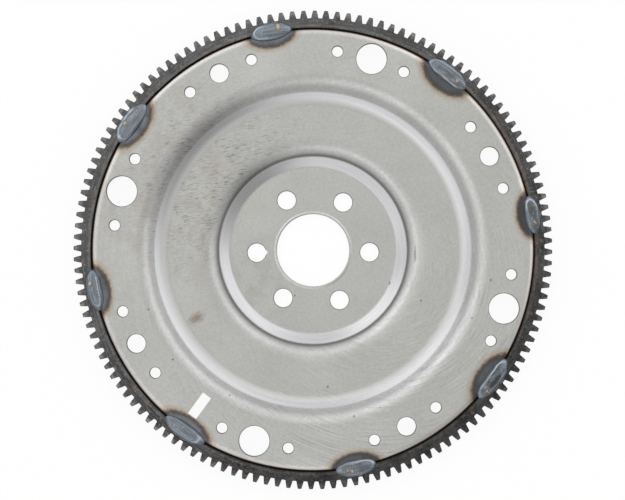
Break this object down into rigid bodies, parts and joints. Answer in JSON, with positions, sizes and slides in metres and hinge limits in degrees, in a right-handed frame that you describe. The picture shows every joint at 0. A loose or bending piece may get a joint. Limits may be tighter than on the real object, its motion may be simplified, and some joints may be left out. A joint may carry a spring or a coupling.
{
  "type": "flexplate",
  "caption": "Dished stamped-steel drive plate with a starter ring gear welded round its rim, pilot hole, crank bolt holes and flange holes for a torque converter.",
  "frame": {"origin": "on the axis of the pilot hole, at the back face of the hub, where the crank flange clamps it", "axes": "+Z along the axis from the crank side to the converter side; +X through the first crank bolt hole, opposite the notched index hole"},
  "size_m": [0.2836, 0.2836, 0.0172],
  "materials": {
    "plate_steel": "satin, warm grey, lightly scuffed",
    "ring_steel": "dark oxide, dull",
    "weld_metal": "rippled, blue-grey scale"
  },
  "bodies": {
    "root": {"flexplate_disc": "plate_steel", "ring_gear": "ring_steel", "weld_bead_1": "weld_metal", "weld_bead_2": "weld_metal", "weld_bead_3": "weld_metal", "weld_bead_4": "weld_metal", "weld_bead_5": "weld_metal", "weld_bead_6": "weld_metal", "weld_bead_7": "weld_metal", "weld_bead_8": "weld_metal"}
  },
  "joints": []
}
